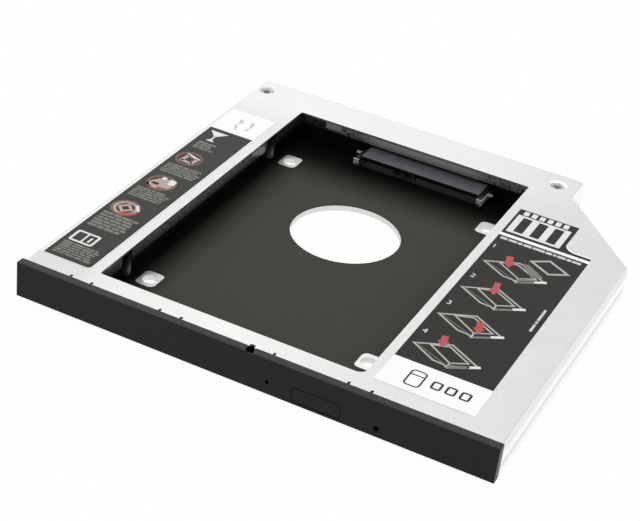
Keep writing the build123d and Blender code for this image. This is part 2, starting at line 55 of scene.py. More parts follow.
forward = Vector((
    -math.sin(camera_azimuth) * math.cos(camera_elevation),
    math.cos(camera_azimuth) * math.cos(camera_elevation),
    -math.sin(camera_elevation),
))
level_right = Vector((math.cos(camera_azimuth), math.sin(camera_azimuth), 0.0))
level_up = level_right.cross(forward)
right = math.cos(camera_roll) * level_right + math.sin(camera_roll) * level_up
up = math.cos(camera_roll) * level_up - math.sin(camera_roll) * level_right
place = camera_aim - camera_side * right - camera_drop * up - camera_distance * forward
turn = Matrix((right, up, -forward)).transposed().to_4x4()
camera = bpy.data.objects.new("camera", bpy.data.cameras.new("camera"))
camera.data.sensor_width = sensor_width
camera.data.lens = camera_lens
camera.data.clip_start = 0.01
camera.data.clip_end = 20.0
camera.matrix_world = Matrix.Translation(place) @ turn
bpy.context.scene.collection.objects.link(camera)
bpy.context.scene.camera = camera
bpy.context.scene.view_settings.view_transform = "Standard"


# Studio: a white table and a white surround, brighter overhead. The table keeps the
# soft shadow, and only what the lens and the reflections see of it is lifted to white.
def linear(hex_colour):
    """An sRGB hex colour as the linear colour that the nodes need."""
    out = []
    for i in (0, 2, 4):
        c = int(hex_colour[i:i + 2], 16) / 255
        out.append(c / 12.92 if c <= 0.04045 else ((c + 0.055) / 1.055) ** 2.4)
    return (*out, 1.0)


def node(tree, kind, inputs=(), **settings):
    """Adds a node. An input takes a value or another node's output."""
    made = tree.nodes.new(kind)
    for name, value in settings.items():
        setattr(made, name, value)
    for name, value in dict(inputs).items():
        if isinstance(value, bpy.types.NodeSocket):
            tree.links.new(value, made.inputs[name])
        else:
            made.inputs[name].default_value = value
    return made


def seen_rays(tree):
    """1 for the rays of the lens, straight, reflected or through a clear piece, else 0."""
    path = node(tree, "ShaderNodeLightPath")
    seen = node(tree, "ShaderNodeMath", {0: path.outputs["Is Camera Ray"], 1: path.outputs["Is Glossy Ray"]},
                operation="MAXIMUM")
    seen = node(tree, "ShaderNodeMath", {0: seen.outputs[0], 1: path.outputs["Is Transmission Ray"]},
                operation="MAXIMUM")
    return seen.outputs[0]


surround_low = 0.62
surround_high = 1.12
world = bpy.data.worlds.new("studio_surround")
bpy.context.scene.world = world
world.use_nodes = True
tree = world.node_tree
tree.nodes.clear()
seen = seen_rays(tree)
way = node(tree, "ShaderNodeSeparateXYZ", {0: node(tree, "ShaderNodeTexCoord").outputs["Generated"]})
soft = node(tree, "ShaderNodeMapRange", {
    "Value": way.outputs["Z"], "To Min": surround_low, "To Max": surround_high})
level = node(tree, "ShaderNodeMix", {0: seen, 2: soft.outputs[0], 3: 1.0}, data_type="FLOAT")
glow = node(tree, "ShaderNodeBackground", {"Color": linear("FFFFFF"), "Strength": level.outputs[0]})
node(tree, "ShaderNodeOutputWorld", {"Surface": glow.outputs[0]})

table_lift = 0.95
table_half = 4.0
table_drop = 0.1 * MM
table_matte = bpy.data.materials.new("white_paper_table_matte")
table_matte.use_nodes = True
tree = table_matte.node_tree
tree.nodes.clear()
seen = seen_rays(tree)
lift = node(tree, "ShaderNodeMath", {0: seen, 1: table_lift}, operation="MULTIPLY")
paper = node(tree, "ShaderNodeBsdfDiffuse", {"Color": linear("F4F4F4")})
white = node(tree, "ShaderNodeEmission", {"Color": linear("FFFFFF"), "Strength": 1.0})
both = node(tree, "ShaderNodeMixShader", {0: lift.outputs[0], 1: paper.outputs[0], 2: white.outputs[0]})
node(tree, "ShaderNodeOutputMaterial", {"Surface": both.outputs[0]})

shape = bmesh.new()
bmesh.ops.create_grid(shape, x_segments=1, y_segments=1, size=table_half)
bmesh.ops.translate(shape, verts=shape.verts, vec=(0.0, 0.0, -table_drop))
mesh = bpy.data.meshes.new("table_top")
shape.to_mesh(mesh)
shape.free()
mesh.materials.append(table_matte)
table_top = bpy.data.objects.new("table_top", mesh)
bpy.context.scene.collection.objects.link(table_top)

for name, where, side, power in (
    ("softbox_rear_left", (-0.9, 1.0, 1.2), 1.6, 3.2),
    ("softbox_front_right", (1.0, -0.8, 1.2), 1.6, 1.4),
):
    lamp = bpy.data.lights.new(name, "AREA")
    lamp.shape = "SQUARE"
    lamp.size = side
    lamp.energy = power
    lit = bpy.data.objects.new(name, lamp)
    lit.location = where
    lit.rotation_euler = (-Vector(where)).to_track_quat("-Z", "Y").to_euler()
    bpy.context.scene.collection.objects.link(lit)


# Cover: the top sheet, rolled aluminium folded down over the frame and left bare. Its
# satin skin is slightly mottled, and the sheared edge round the bay is painted darker,
# as shade. The uneven light is painted into the colour, as soft zones.
def finish(name, settings):
    """A new material with its main shader set."""
    made = bpy.data.materials.new(name)
    made.use_nodes = True
    shader = made.node_tree.nodes["Principled BSDF"]
    for key, value in settings.items():
        shader.inputs[key].default_value = value
    return made, made.node_tree, shader


def coat(names, material):
    """Gives each of these CAD nodes its material, in every slot that it has."""
    for name in names:
        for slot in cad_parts[name].material_slots:
            slot.material = material


cloud_size = 6.25 * MM
grain_size = 0.556 * MM
aluminium, tree, shader = finish("rolled_aluminium_satin", {"Metallic": 1.0, "Roughness": 0.42})
space = node(tree, "ShaderNodeTexCoord").outputs["Object"]
x, y, z = node(tree, "ShaderNodeSeparateXYZ", {0: space}).outputs
# Rolled grain is finer than a tenth of a millimetre, and is drawn coarser to show.
cloud = node(tree, "ShaderNodeTexNoise", {"Vector": space, "Scale": 1 / cloud_size, "Detail": 4.0})
grain = node(tree, "ShaderNodeTexNoise", {"Vector": space, "Scale": 1 / grain_size, "Detail": 2.0})
tone = node(tree, "ShaderNodeMix", {0: cloud.outputs[0], 6: linear("D1D1D0"), 7: linear("E0E0DF")},
            data_type="RGBA")
blot = node(tree, "ShaderNodeMapRange", {"Value": grain.outputs[0], "From Min": 0.35, "From Max": 0.65})

# The light is strongest along the middle of the bay and on the rear rail, where it
# falls off to the right.
band_middle = -9.0 * MM
band_half = 38.0 * MM
rear_start, rear_full = 40.0 * MM, 51.0 * MM
fade_end = 40.0 * MM
off = node(tree, "ShaderNodeMath", {0: x, 1: band_middle}, operation="SUBTRACT")
off = node(tree, "ShaderNodeMath", {0: off.outputs[0]}, operation="ABSOLUTE")
band = node(tree, "ShaderNodeMapRange", {
    "Value": off.outputs[0], "From Max": band_half, "To Min": 1.0, "To Max": 0.0})
tone = node(tree, "ShaderNodeMix", {0: band.outputs[0], 6: tone.outputs[2], 7: linear("E4E4E3")},
            data_type="RGBA")
rear = node(tree, "ShaderNodeMapRange", {"Value": y, "From Min": rear_start, "From Max": rear_full})
left = node(tree, "ShaderNodeMapRange", {"Value": x, "From Max": fade_end, "To Min": 1.0, "To Max": 0.4})
lit_rear = node(tree, "ShaderNodeMath", {0: rear.outputs[0], 1: left.outputs[0]}, operation="MULTIPLY")
tone = node(tree, "ShaderNodeMix", {0: lit_rear.outputs[0], 6: tone.outputs[2], 7: linear("E3E3E2")},
            data_type="RGBA")
# Small darker blots mottle the whole sheet.
blot_share = 0.2
mottle = node(tree, "ShaderNodeMath", {0: blot.outputs[0], 1: blot_share}, operation="MULTIPLY")
tone = node(tree, "ShaderNodeMix", {0: mottle.outputs[0], 6: tone.outputs[2], 7: linear("B0B0AE")},
            data_type="RGBA")

# The front left corner gets less light.
shade_share = 0.32
shade_start_x, shade_end_x = -49.0 * MM, -46.0 * MM
shade_start_y, shade_end_y = -57.0 * MM, -55.0 * MM
inner = node(tree, "ShaderNodeMapRange", {
    "Value": x, "From Min": shade_start_x, "From Max": shade_end_x, "To Min": shade_share, "To Max": 0.0})
ahead = node(tree, "ShaderNodeMapRange", {
    "Value": y, "From Min": shade_start_y, "From Max": shade_end_y, "To Min": 1.0, "To Max": 0.0})
shade = node(tree, "ShaderNodeMath", {0: inner.outputs[0], 1: ahead.outputs[0]}, operation="MULTIPLY")
tone = node(tree, "ShaderNodeMix", {0: shade.outputs[0], 6: tone.outputs[2], 7: linear("B8B8B7")},
            data_type="RGBA")

# The light that bleaches the walls right of the bay is painted in. The painted light
# on the right wall fades to grey near its bend.
cover_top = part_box("cover")[1].z
bend_low, bend_top = cover_top - 0.1 * MM, cover_top - 0.01 * MM
grey_start, grey_full = 6.3 * MM, 7.6 * MM
right_wall = 60.0 * MM
lit_start, lit_full = 30.0 * MM, 39.0 * MM
wall = node(tree, "ShaderNodeMapRange", {
    "Value": z, "From Min": bend_low, "From Max": bend_top, "To Min": 1.0, "To Max": 0.0})
upper = node(tree, "ShaderNodeMapRange", {"Value": z, "From Min": grey_start, "From Max": grey_full})
outer = node(tree, "ShaderNodeMath", {0: x, 1: right_wall}, operation="GREATER_THAN")
upper = node(tree, "ShaderNodeMath", {0: upper.outputs[0], 1: outer.outputs[0]}, operation="MULTIPLY")
bright = node(tree, "ShaderNodeMix", {0: upper.outputs[0], 6: linear("FDFDFC"), 7: linear("EDEDEC")},
              data_type="RGBA")
lit_side = node(tree, "ShaderNodeMapRange", {"Value": x, "From Min": lit_start, "From Max": lit_full})
rim = node(tree, "ShaderNodeMix", {0: lit_side.outputs[0], 6: linear("DEDEDD"), 7: bright.outputs[2]},
           data_type="RGBA")
tone = node(tree, "ShaderNodeMix", {0: wall.outputs[0], 6: tone.outputs[2], 7: rim.outputs[2]},
            data_type="RGBA")

# The sheared edge stands round the bay, and is painted darker, as shade. The floor film
# shares the bay's middle, and is larger all round, so the edge is found from it.
film_low, film_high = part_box("floor_film")
bay_middle = (film_low + film_high) / 2
film_past_edge = 1.7 * MM
edge_x = (film_high.x - film_low.x) / 2 - film_past_edge
edge_y = (film_high.y - film_low.y) / 2 - film_past_edge
edge_middle = cover_top - 0.32 * MM
edge_half = 0.29 * MM
across = node(tree, "ShaderNodeMath", {0: x, 1: bay_middle.x, 2: edge_x}, operation="COMPARE")
down = node(tree, "ShaderNodeMath", {0: y, 1: bay_middle.y, 2: edge_y}, operation="COMPARE")
cut = node(tree, "ShaderNodeMath", {0: z, 1: edge_middle, 2: edge_half}, operation="COMPARE")
cut = node(tree, "ShaderNodeMath", {0: cut.outputs[0], 1: across.outputs[0]}, operation="MULTIPLY")
cut = node(tree, "ShaderNodeMath", {0: cut.outputs[0], 1: down.outputs[0]}, operation="MULTIPLY")
tone = node(tree, "ShaderNodeMix", {0: cut.outputs[0], 6: tone.outputs[2], 7: linear("A0A0A0")},
            data_type="RGBA")

# The floors of both dimples are painted darker, as shade in the pits, with a mottle,
# and a painted highlight lies behind the tab's. The bores have no thread here, so a
# dull finish stands for it.
dimples_middle = -13.5 * MM
dimple_centre = (46.7 * MM, 57.525 * MM, 0.0)
dimple_floor = 1.95 * MM
bore_radius = 1.16 * MM
halo_start, halo_end = 2.5 * MM, 3.2 * MM
behind_start, behind_full = 57.4 * MM, 58.4 * MM
side = node(tree, "ShaderNodeMath", {0: x, 1: dimples_middle}, operation="SUBTRACT")
side = node(tree, "ShaderNodeMath", {0: side.outputs[0]}, operation="ABSOLUTE")
spot = node(tree, "ShaderNodeCombineXYZ", {0: side.outputs[0], 1: y})
spot = node(tree, "ShaderNodeVectorMath", {0: spot.outputs[0], 1: dimple_centre}, operation="DISTANCE")
spot = spot.outputs["Value"]
# A painted highlight on the sheet behind the tab's dimple.
halo = node(tree, "ShaderNodeMapRange", {
    "Value": spot, "From Min": halo_start, "From Max": halo_end, "To Min": 1.0, "To Max": 0.0})
behind = node(tree, "ShaderNodeMapRange", {"Value": y, "From Min": behind_start, "From Max": behind_full})
halo = node(tree, "ShaderNodeMath", {0: halo.outputs[0], 1: behind.outputs[0]}, operation="MULTIPLY")
tabbed = node(tree, "ShaderNodeMath", {0: x, 1: 0.0}, operation="GREATER_THAN")
halo = node(tree, "ShaderNodeMath", {0: halo.outputs[0], 1: tabbed.outputs[0]}, operation="MULTIPLY")
tone = node(tree, "ShaderNodeMix", {0: halo.outputs[0], 6: tone.outputs[2], 7: linear("FAFAF9")},
            data_type="RGBA")
# Painted shade fills the dimple floors, mottled.
floor = node(tree, "ShaderNodeMath", {0: spot, 1: dimple_floor}, operation="LESS_THAN")
pit_shade = node(tree, "ShaderNodeMix", {0: blot.outputs[0], 6: linear("8E8E8C"), 7: linear("D4D4D2")},
             data_type="RGBA")
tone = node(tree, "ShaderNodeMix", {0: floor.outputs[0], 6: tone.outputs[2], 7: pit_shade.outputs[2]},
            data_type="RGBA")
tree.links.new(tone.outputs[2], shader.inputs["Base Color"])
bore = node(tree, "ShaderNodeMath", {0: spot, 1: bore_radius}, operation="LESS_THAN")
metal = node(tree, "ShaderNodeMath", {0: 1.0, 1: bore.outputs[0]}, operation="SUBTRACT")
tree.links.new(metal.outputs[0], shader.inputs["Metallic"])
rough = node(tree, "ShaderNodeMapRange", {"Value": cloud.outputs[0], "To Min": 0.36, "To Max": 0.5})
rough = node(tree, "ShaderNodeMath", {0: rough.outputs[0], 1: bore.outputs[0]}, operation="MAXIMUM")
tree.links.new(rough.outputs[0], shader.inputs["Roughness"])
bump = node(tree, "ShaderNodeBump", {"Height": grain.outputs[0], "Strength": 0.12, "Distance": 0.05 * MM})
tree.links.new(bump.outputs[0], shader.inputs["Normal"])
coat(["cover"], aluminium)


# Base plate: the same aluminium, pressed into a shallow tray and screwed on from below.
# Its unseen underside is given brushed lines, wider than real ones so that they show.
# The rim holds the photo's light like the cover's walls.
brush_width = 0.385 * MM
brush_stretch = 0.04
rim_start, rim_full = 0.05 * MM, 0.2 * MM
grey_start, grey_full = 1.2 * MM, 2.6 * MM
base_metal, tree, shader = finish("pressed_aluminium_brushed", {"Metallic": 1.0, "Roughness": 0.4})
space = node(tree, "ShaderNodeTexCoord").outputs["Object"]
where = node(tree, "ShaderNodeSeparateXYZ", {0: space}).outputs
along = node(tree, "ShaderNodeMapping", {"Vector": space, "Scale": (1.0, brush_stretch, 1.0)})
brush = node(tree, "ShaderNodeTexNoise", {
    "Vector": along.outputs[0], "Scale": 1 / brush_width, "Detail": 3.0})
tone = node(tree, "ShaderNodeMix", {0: brush.outputs[0], 6: linear("C8C9CA"), 7: linear("E2E2E1")},
            data_type="RGBA")
wall = node(tree, "ShaderNodeMapRange", {"Value": where["Z"], "From Min": rim_start, "From Max": rim_full})
upper = node(tree, "ShaderNodeMapRange", {
    "Value": where["Z"], "From Min": grey_start, "From Max": grey_full})
bright = node(tree, "ShaderNodeMix", {0: upper.outputs[0], 6: linear("FEFEFD"), 7: linear("EFEFEE")},
              data_type="RGBA")
lit_side = node(tree, "ShaderNodeMapRange", {
    "Value": where["X"], "From Min": lit_start, "From Max": lit_full})
rim = node(tree, "ShaderNodeMix", {0: lit_side.outputs[0], 6: linear("DEDEDD"), 7: bright.outputs[2]},
           data_type="RGBA")
tone = node(tree, "ShaderNodeMix", {0: wall.outputs[0], 6: tone.outputs[2], 7: rim.outputs[2]},
            data_type="RGBA")
tree.links.new(tone.outputs[2], shader.inputs["Base Color"])
bump = node(tree, "ShaderNodeBump", {"Height": brush.outputs[0], "Strength": 0.1, "Distance": 0.05 * MM})
tree.links.new(bump.outputs[0], shader.inputs["Normal"])
coat(["base_plate"], base_metal)


# Floor film: black polyester film glued on the base plate, so that the drive's
# board can't short on the metal. Its matt skin is a warm dark grey in the open middle.
# The photo's shadow at the rear and along the left wall is held in the colour.
wave_size = 16.7 * MM
grit_size = 0.385 * MM
rear_start, rear_full = 25.0 * MM, 43.5 * MM
left_start, left_full = -34.0 * MM, -44.0 * MM
film, tree, shader = finish("polyester_film_matt_black", {
    "Roughness": 0.5, "IOR": 1.32, "Specular IOR Level": 0.06})
space = node(tree, "ShaderNodeTexCoord").outputs["Object"]
where = node(tree, "ShaderNodeSeparateXYZ", {0: space}).outputs
# Matt grit is a few hundredths of a millimetre wide, and is drawn coarser to show.
wave = node(tree, "ShaderNodeTexNoise", {"Vector": space, "Scale": 1 / wave_size, "Detail": 2.0})
grit = node(tree, "ShaderNodeTexNoise", {"Vector": space, "Scale": 1 / grit_size, "Detail": 2.0})
tone = node(tree, "ShaderNodeMix", {0: grit.outputs[0], 6: linear("3D3C38"), 7: linear("484742")},
            data_type="RGBA")
rear = node(tree, "ShaderNodeMapRange", {
    "Value": where["Y"], "From Min": rear_start, "From Max": rear_full}, interpolation_type="SMOOTHSTEP")
left = node(tree, "ShaderNodeMapRange", {"Value": where["X"], "From Min": left_start, "From Max": left_full})
black = node(tree, "ShaderNodeMath", {0: rear.outputs[0], 1: left.outputs[0]}, operation="MAXIMUM")
tone = node(tree, "ShaderNodeMix", {0: black.outputs[0], 6: tone.outputs[2], 7: linear("080807")},
            data_type="RGBA")
tree.links.new(tone.outputs[2], shader.inputs["Base Color"])
rough = node(tree, "ShaderNodeMapRange", {"Value": wave.outputs[0], "To Min": 0.46, "To Max": 0.58})
tree.links.new(rough.outputs[0], shader.inputs["Roughness"])
bump = node(tree, "ShaderNodeBump", {"Height": grit.outputs[0], "Strength": 0.2, "Distance": 0.03 * MM})
tree.links.new(bump.outputs[0], shader.inputs["Normal"])
coat(["floor_film"], film)


# Frame: one black moulding between the two sheets. Glass-filled ABS with a coarse
# spark-eroded skin on the bay walls. Painted light turns the walls grey towards the top,
# with painted shade black below, the pad over the socket is lighter, and a patch of
# painted light shows by the rear spring.
grit_size = 0.667 * MM
strip_start, strip_full = 5.1 * MM, 8.2 * MM
frame_abs, tree, shader = finish("glass_filled_ABS_coarse", {
    "Roughness": 0.55, "IOR": 1.5, "Specular IOR Level": 0.12})
space = node(tree, "ShaderNodeTexCoord").outputs["Object"]
x, y, z = node(tree, "ShaderNodeSeparateXYZ", {0: space}).outputs
# Spark pits are about 0.1 mm wide, and are drawn coarser to show.
grit = node(tree, "ShaderNodeTexNoise", {"Vector": space, "Scale": 1 / grit_size, "Detail": 3.0})
strip = node(tree, "ShaderNodeMapRange", {"Value": z, "From Min": strip_start, "From Max": strip_full})
spark = node(tree, "ShaderNodeMapRange", {"Value": grit.outputs[0], "From Min": 0.32, "From Max": 0.68})
high = node(tree, "ShaderNodeMix", {0: spark.outputs[0], 6: linear("222222"), 7: linear("7E7E7E")},
            data_type="RGBA")

# The pad over the socket fades out at both ends.
pad_middle = -5.35 * MM
pad_full, pad_end = 14.0 * MM, 21.0 * MM
pad_front = 49.3 * MM
centre = node(tree, "ShaderNodeMath", {0: x, 1: pad_middle}, operation="SUBTRACT")
centre = node(tree, "ShaderNodeMath", {0: centre.outputs[0]}, operation="ABSOLUTE")
inside = node(tree, "ShaderNodeMapRange", {
    "Value": centre.outputs[0], "From Min": pad_full, "From Max": pad_end, "To Min": 1.0, "To Max": 0.0})
rear = node(tree, "ShaderNodeMath", {0: y, 1: pad_front}, operation="GREATER_THAN")
pad = node(tree, "ShaderNodeMath", {0: inside.outputs[0], 1: rear.outputs[0]}, operation="MULTIPLY")
high = node(tree, "ShaderNodeMix", {0: pad.outputs[0], 6: high.outputs[2], 7: linear("8A8A8D")},
            data_type="RGBA")

# Both ends of the left wall lie in shadow.
left_limit = -36.5 * MM
back_start, back_full = 29.0 * MM, 31.0 * MM
front_full, front_start = -36.0 * MM, -32.0 * MM
left = node(tree, "ShaderNodeMath", {0: x, 1: left_limit}, operation="LESS_THAN")
back = node(tree, "ShaderNodeMapRange", {
    "Value": y, "From Min": back_start, "From Max": back_full, "To Max": 0.85})
front = node(tree, "ShaderNodeMapRange", {
    "Value": y, "From Min": front_full, "From Max": front_start, "To Min": 0.35, "To Max": 0.0})
dim = node(tree, "ShaderNodeMath", {0: back.outputs[0], 1: front.outputs[0]}, operation="MAXIMUM")
dim = node(tree, "ShaderNodeMath", {0: dim.outputs[0], 1: left.outputs[0]}, operation="MULTIPLY")
high = node(tree, "ShaderNodeMix", {0: dim.outputs[0], 6: high.outputs[2], 7: linear("060606")},
            data_type="RGBA")
# Low on the walls the colour is painted black, as shade, and it greys upwards as painted light.
tone = node(tree, "ShaderNodeMix", {0: strip.outputs[0], 6: linear("050505"), 7: high.outputs[2]},
            data_type="RGBA")

# The patch of painted light by the rear spring falls towards the rear by this share of the way.
patch_fall = 0.35
patch_middle, patch_half_length = 25.6 * MM, 3.9 * MM
patch_height, patch_half_height = 7.59 * MM, 1.3 * MM
level_height = patch_height + patch_fall * patch_middle
lean = node(tree, "ShaderNodeMath", {0: y, 1: patch_fall, 2: z}, operation="MULTIPLY_ADD")
lit_patch = node(tree, "ShaderNodeMath", {0: lean.outputs[0], 1: level_height, 2: patch_half_height},
            operation="COMPARE")
span = node(tree, "ShaderNodeMath", {0: y, 1: patch_middle, 2: patch_half_length}, operation="COMPARE")
lit_patch = node(tree, "ShaderNodeMath", {0: lit_patch.outputs[0], 1: span.outputs[0]}, operation="MULTIPLY")
lit_patch = node(tree, "ShaderNodeMath", {0: lit_patch.outputs[0], 1: left.outputs[0]}, operation="MULTIPLY")
fleck = node(tree, "ShaderNodeMapRange", {"Value": grit.outputs[0], "From Min": 0.3, "From Max": 0.6})
lit_patch = node(tree, "ShaderNodeMath", {0: lit_patch.outputs[0], 1: fleck.outputs[0]}, operation="MULTIPLY")
tone = node(tree, "ShaderNodeMix", {0: lit_patch.outputs[0], 6: tone.outputs[2], 7: linear("A8A8A8")},
            data_type="RGBA")

# What shows between the bezel and the cover is in deep shadow.
front_gap = -59.5 * MM
ahead = node(tree, "ShaderNodeMath", {0: y, 1: front_gap}, operation="LESS_THAN")
tone = node(tree, "ShaderNodeMix", {0: ahead.outputs[0], 6: tone.outputs[2], 7: linear("020202")},
            data_type="RGBA")
tree.links.new(tone.outputs[2], shader.inputs["Base Color"])
bump = node(tree, "ShaderNodeBump", {"Height": grit.outputs[0], "Strength": 0.5, "Distance": 0.12 * MM})
tree.links.new(bump.outputs[0], shader.inputs["Normal"])
coat(["frame"], frame_abs)


# Bezel: the front strip, moulded ABS in black, clipped on the cover's four tongues. Its
# etched skin is drawn coarser than a real one, so that it shows. The photo's light turns
# the top edge a mottled grey, and the ends grey.
etch_size = 0.455 * MM
fleck_size = 0.667 * MM
bezel_low, bezel_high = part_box("bezel")
edge_start, edge_full = bezel_high.z - 0.15 * MM, bezel_high.z - 0.05 * MM
lip_start, lip_full = bezel_low.y - 0.3 * MM, bezel_low.y + 0.8 * MM
end_face = bezel_high.x - 0.08 * MM
bezel_abs, tree, shader = finish("moulded_ABS_fine_etch", {
    "Roughness": 0.42, "IOR": 1.5, "Specular IOR Level": 0.2})
space = node(tree, "ShaderNodeTexCoord").outputs["Object"]
x, y, z = node(tree, "ShaderNodeSeparateXYZ", {0: space}).outputs
etch = node(tree, "ShaderNodeTexNoise", {"Vector": space, "Scale": 1 / etch_size, "Detail": 2.0})
tone = node(tree, "ShaderNodeMix", {0: etch.outputs[0], 6: linear("020202"), 7: linear("171717")},
            data_type="RGBA")
upper = node(tree, "ShaderNodeMapRange", {"Value": z, "From Min": edge_start, "From Max": edge_full})
inner = node(tree, "ShaderNodeMapRange", {"Value": y, "From Min": lip_start, "From Max": lip_full})
upper = node(tree, "ShaderNodeMath", {0: upper.outputs[0], 1: inner.outputs[0]}, operation="MULTIPLY")
fleck = node(tree, "ShaderNodeTexNoise", {"Vector": space, "Scale": 1 / fleck_size, "Detail": 2.0})
light = node(tree, "ShaderNodeMix", {0: fleck.outputs[0], 6: linear("000000"), 7: linear("404040")},
             data_type="RGBA")
tone = node(tree, "ShaderNodeMix", {0: upper.outputs[0], 6: tone.outputs[2], 7: light.outputs[2]},
            data_type="RGBA")
end = node(tree, "ShaderNodeMath", {0: x}, operation="ABSOLUTE")
end = node(tree, "ShaderNodeMath", {0: end.outputs[0], 1: end_face}, operation="GREATER_THAN")
deep = node(tree, "ShaderNodeMapRange", {"Value": y, "From Min": bezel_low.y, "From Max": bezel_high.y})
glare = node(tree, "ShaderNodeMix", {0: deep.outputs[0], 6: linear("2E2E2E"), 7: linear("545454")},
             data_type="RGBA")
tone = node(tree, "ShaderNodeMix", {0: end.outputs[0], 6: tone.outputs[2], 7: glare.outputs[2]},
            data_type="RGBA")
tree.links.new(tone.outputs[2], shader.inputs["Base Color"])
bump = node(tree, "ShaderNodeBump", {"Height": etch.outputs[0], "Strength": 0.25, "Distance": 0.04 * MM})
tree.links.new(bump.outputs[0], shader.inputs["Normal"])
coat(["bezel", "eject_button"], bezel_abs)


# Left label: a white vinyl sticker on the left rail, with a dark printed field, small
# pictograms and rows of fine print. Real ink is a few microns thick. It is drawn as
# shapes, each layer 6 microns over the last.
mottle_size = 1.11 * MM
patch_size = 0.833 * MM
vinyl, tree, shader = finish("printed_vinyl_satin", {
    "Roughness": 0.45, "IOR": 1.46, "Specular IOR Level": 0.3})
space = node(tree, "ShaderNodeTexCoord").outputs["Object"]
mottle = node(tree, "ShaderNodeTexNoise", {"Vector": space, "Scale": 1 / mottle_size, "Detail": 2.0})
tone = node(tree, "ShaderNodeMix", {0: mottle.outputs[0], 6: linear("F4F4F3"), 7: linear("FCFCFB")},
            data_type="RGBA")
tree.links.new(tone.outputs[2], shader.inputs["Base Color"])
coat(["left_label", "guide_label"], vinyl)

inks = []
for name, thin, full in (
    ("screen_ink_charcoal", "302F2D", "363532"),
    ("screen_ink_dark_charcoal", "1D1E1A", "23241F"),
    ("screen_ink_white", "DADADA", "ECECEC"),
    ("screen_ink_grey", "70706C", "81807C"),
    ("screen_ink_red", "A8484A", "BC5C5C"),
    ("screen_ink_pale_grey", "BEBEBC", "D2D2D0"),
    ("screen_ink_dull_rose", "74504E", "8A625F"),
    ("screen_ink_beige", "A8968F", "C0AEA6"),
    ("screen_ink_silver_grey", "A6A6A2", "BABAB6"),
):
    ink, tree, shader = finish(name, {"Roughness": 0.5, "IOR": 1.46, "Specular IOR Level": 0.2})
    space = node(tree, "ShaderNodeTexCoord").outputs["Object"]
    patch = node(tree, "ShaderNodeTexNoise", {"Vector": space, "Scale": 1 / patch_size})
    tone = node(tree, "ShaderNodeMix", {0: patch.outputs[0], 6: linear(thin), 7: linear(full)},
                data_type="RGBA")
    tree.links.new(tone.outputs[2], shader.inputs["Base Color"])
    inks.append(ink)
CHARCOAL, DARK, WHITE, GREY, RED, PALE, ROSE, BEIGE, SILVER = range(len(inks))
ink_film = 0.006
chance = random.Random(5)


def field(shape, corners, ink, rise=1, rounding=0.0):
    """A flat patch of ink with these corners in millimetres, raised by so many films."""
    verts = [shape.verts.new((x, y, rise * ink_film)) for x, y in corners]
    face = shape.faces.new(verts)
    face.normal_update()
    face.material_index = ink
    middle = face.calc_center_bounds()
    if rounding:
        segments = 6
        bmesh.ops.bevel(shape, geom=verts, offset=rounding, offset_type="OFFSET", segments=segments,
                        profile=0.5, affect="VERTICES", material=-1)
        rounded = [f for f in shape.faces if len(f.verts) == len(corners) * (segments + 1)]
        face = min(rounded, key=lambda f: (f.calc_center_bounds() - middle).length)
    return face


def outline(shape, corners, stroke, ink, rise=2, rounding=0.0):
    """A closed line of ink: a patch, inset by the stroke, with its inside taken out."""
    face = field(shape, corners, ink, rise, rounding)
    bmesh.ops.inset_individual(shape, faces=[face], thickness=stroke, use_even_offset=True)
    bmesh.ops.delete(shape, geom=[face], context="FACES")


def line(shape, start, end, stroke, ink, rise=2):
    """A straight line of ink with square ends."""
    start, end = Vector(start), Vector(end)
    side = (end - start).normalized().orthogonal() * stroke / 2
    field(shape, [start + side, end + side, end - side, start - side], ink, rise)


def disc(x, y, radius, count=24):
    """The corners of a round patch."""
    turns = [i * math.tau / count for i in range(count)]
    return [(x + radius * math.cos(turn), y + radius * math.sin(turn)) for turn in turns]


def fine_print(shape, x0, x1, y0, y1, row, ink, rise=2):
    """Rows of short bars that stand for small print, ragged at the right."""
    ragged = 1.8
    shortest_bar, longest_bar = 0.9, 3.4
    gap = 0.3
    least_room = 0.4
    y = y1 - row / 2
    while y > y0:
        x = x0
        limit = x1 - chance.uniform(0.0, ragged)
        while x < limit - least_room:
            end = min(x + chance.uniform(shortest_bar, longest_bar), limit)
            line(shape, (x, y), (end, y), row * chance.uniform(0.62, 0.8), ink, rise)
            x = end + gap
        y -= row


def stick(name, shape, label):
    """Sets the finished print on its label and lets it ride with the caddy."""
    low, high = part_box(label)
    bmesh.ops.scale(shape, verts=shape.verts, vec=(MM, MM, MM))
    bmesh.ops.translate(shape, verts=shape.verts, vec=(low.x, low.y, high.z))
    mesh = bpy.data.meshes.new(name)
    shape.to_mesh(mesh)
    shape.free()
    for ink in inks:
        mesh.materials.append(ink)
    made = bpy.data.objects.new(name, mesh)
    bpy.context.scene.collection.objects.link(made)
    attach(made, "caddy")


# The dark field fills the label but for its rear end, and has a cut front right corner.
small_row = 1.15
shape = bmesh.new()
field(shape, [(0.3, 0.2), (13.0, 0.2), (13.6, 0.45), (13.85, 1.05), (13.85, 83.1), (0.3, 83.1)], CHARCOAL)

# A stemmed glass, with its bowl, stem and foot, and a small print below it.
field(shape, [(1.5, 81.4), (7.1, 81.4), (4.6, 78.4), (4.0, 78.4)], WHITE, 2)
field(shape, [(4.0, 78.6), (4.6, 78.6), (4.5, 76.4), (4.1, 76.4)], WHITE, 2)
field(shape, [(3.1, 75.2), (5.7, 75.2), (4.6, 76.5), (4.0, 76.5)], WHITE, 2)
fine_print(shape, 2.0, 8.6, 69.2, 74.0, small_row, GREY)

# Three round signs in dull rose rings, the rearmost with a tilted beige square in it.
ring_stroke = 0.75
for x, y, radius in ((5.1, 62.8, 3.9), (6.0, 46.8, 4.2), (5.3, 30.0, 4.1)):
    outline(shape, disc(x, y, radius), ring_stroke, ROSE)
outline(shape, [(2.9, 60.6), (7.3, 60.2), (7.9, 64.2), (3.6, 65.6)], 1.15, BEIGE, rounding=0.4)
line(shape, (3.4, 65.3), (7.6, 64.0), 0.5, WHITE, 3)
fine_print(shape, 1.6, 13.2, 52.8, 58.2, small_row, GREY)

